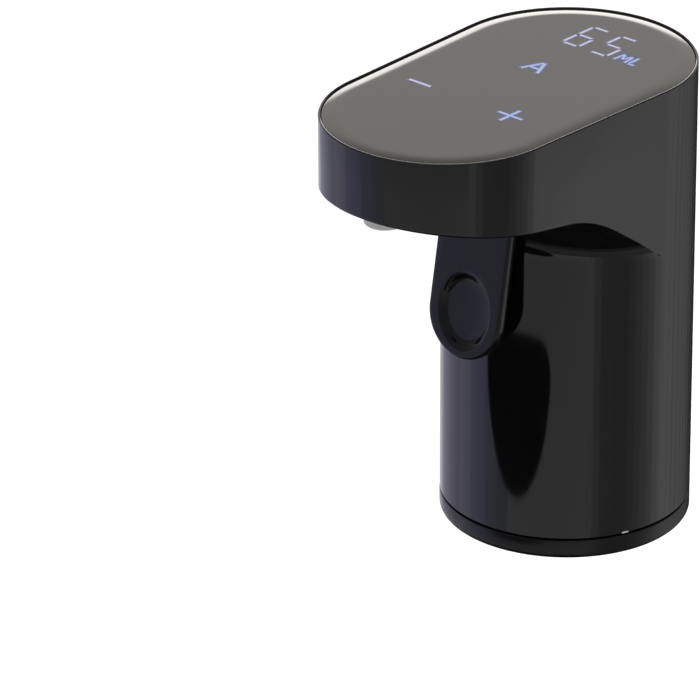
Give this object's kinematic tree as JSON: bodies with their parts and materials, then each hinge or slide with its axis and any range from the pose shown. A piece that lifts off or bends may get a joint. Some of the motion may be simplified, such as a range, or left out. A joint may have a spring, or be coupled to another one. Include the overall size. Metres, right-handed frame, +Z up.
{
  "type": "electric wine dispenser",
  "caption": "Black tap-shaped battery dispenser that stands on a bottle neck, with a touch panel on top, a spout under the nose and a push paddle for the glass.",
  "frame": {"origin": "on the axis of the bottle neck and the column, level with the underside of the base ring", "axes": "+Z up along the bottle neck, -Y towards the spout, +X to the right when looking along +Y"},
  "size_m": [0.054, 0.0926, 0.1125],
  "materials": {
    "gloss_black": "polished piano black",
    "panel_glass": "dark tinted touch panel with a rolled edge",
    "base_black": "satin black",
    "paddle_black": "semi-gloss black",
    "silicone": "matt food-grade silicone",
    "dark_silicone": "matt black silicone",
    "clear_tube": "milky translucent silicone hose",
    "steel": "brushed",
    "spring_steel": "drawn wire",
    "brass": "turned",
    "board_green": "solder mask",
    "chip_black": "moulded epoxy",
    "white_plastic": "moulded",
    "grey_plastic": "moulded",
    "cell_wrap": "shrink sleeve",
    "copper": "stamped copper alloy",
    "lead_red": "moulded",
    "lead_black": "extruded sleeve"
  },
  "bodies": {
    "body": {"main_housing": "gloss_black", "base_ring": "base_black", "seat_gasket": "silicone", "stopper": "silicone", "stopper_core": "grey_plastic", "wine_tube": "clear_tube", "nozzle": "white_plastic", "aerator_insert": "white_plastic", "nozzle_seal": "silicone", "air_tube_low": "clear_tube", "check_valve_body": "white_plastic", "check_valve_cap": "white_plastic", "air_tube_high": "clear_tube", "pump_head": "grey_plastic", "valve_plate": "white_plastic", "diaphragm": "dark_silicone", "swing_plate": "white_plastic", "pump_housing": "grey_plastic", "motor_can": "steel", "motor_end_cap": "chip_black", "paddle_pin": "steel", "paddle_spring": "spring_steel", "switch_body": "chip_black", "battery_cell": "cell_wrap", "cell_tab_plus": "steel", "cell_tab_minus": "steel", "chassis": "grey_plastic", "charge_board": "board_green", "usb_socket": "steel", "touch_panel": "panel_glass", "panel_gasket": "dark_silicone", "control_board": "board_green", "display_module": "white_plastic", "control_chip": "chip_black", "buzzer": "chip_black", "motor_lead_plus": "lead_red", "motor_lead_minus": "lead_black", "charge_lead": "lead_red", "switch_lead": "lead_black", "base_screw_1": "steel", "base_screw_2": "steel", "base_screw_3": "steel", "board_screw_1": "steel", "board_screw_2": "steel", "board_screw_3": "steel", "board_screw_4": "steel", "minus_light_pipe": "white_plastic", "minus_touch_pad": "copper", "mode_light_pipe": "white_plastic", "mode_touch_pad": "copper", "plus_light_pipe": "white_plastic", "plus_touch_pad": "copper"},
    "paddle": {"push_paddle": "paddle_black"},
    "plunger": {"switch_plunger": "lead_red"},
    "rotor": {"motor_shaft": "steel", "eccentric": "brass", "crank_pin": "steel"},
    "valve_disc": {"check_valve_disc": "dark_silicone"},
    "port_cover": {"usb_cover": "dark_silicone"}
  },
  "joints": [
    {"name": "paddle_press", "type": "hinge", "parent": "body", "child": "paddle", "pos_m": [0, -0.027, 0.0808], "axis": [1, 0, 0], "range_deg": [0, 5.5], "stiffness_Nm_per_rad": 0.06, "springref_deg": -20.05, "deforming": ["paddle_spring"]},
    {"name": "plunger_slide", "type": "slide", "parent": "body", "child": "plunger", "axis": [0, -1, 0], "range_m": [0, 0.00095]},
    {"name": "rotor_spin", "type": "hinge", "parent": "body", "child": "rotor", "pos_m": [0, -0.0105, 0.06], "axis": [0, 0, 1], "continuous": true},
    {"name": "valve_lift", "type": "slide", "parent": "body", "child": "valve_disc", "axis": [0, 0, -1], "range_m": [0, 0.0005]},
    {"name": "port_cover_swing", "type": "hinge", "parent": "body", "child": "port_cover", "pos_m": [0, 0.0269, 0.0161], "axis": [-1, 0, 0], "range_deg": [0, 110]}
  ],
  "couplings": [
    {"joint": "plunger_slide", "follows": "paddle_press", "m_per_rad": 0.0092}
  ]
}
